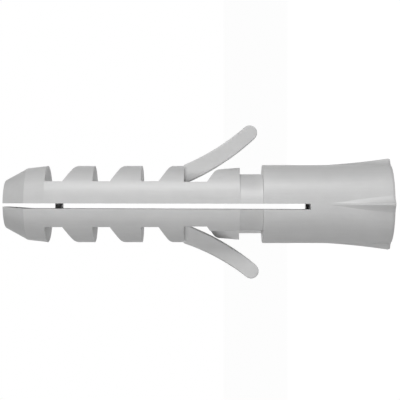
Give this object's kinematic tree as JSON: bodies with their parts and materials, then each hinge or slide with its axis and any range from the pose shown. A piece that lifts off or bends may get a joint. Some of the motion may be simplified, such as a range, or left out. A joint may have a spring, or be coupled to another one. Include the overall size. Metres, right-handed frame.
{
  "type": "expansion plug",
  "caption": "Moulded nylon wall plug with a split, toothed body, two curved tongues that stop it turning, and a ridged collar round its screw hole.",
  "frame": {"origin": "centre of the collar's mouth, on the plug's axis; Z = 0 is the flat rim face that the plug stands on and that ends flush with the wall", "axes": "+Z along the plug from the mouth to the nose; X across the slot, towards the tongues; Y along the slot, which is the way the mould opens"},
  "size_m": [0.0198, 0.0118, 0.05],
  "materials": {
    "nylon": "moulded, satin"
  },
  "bodies": {
    "root": {"expansion_plug": "nylon"}
  },
  "joints": []
}
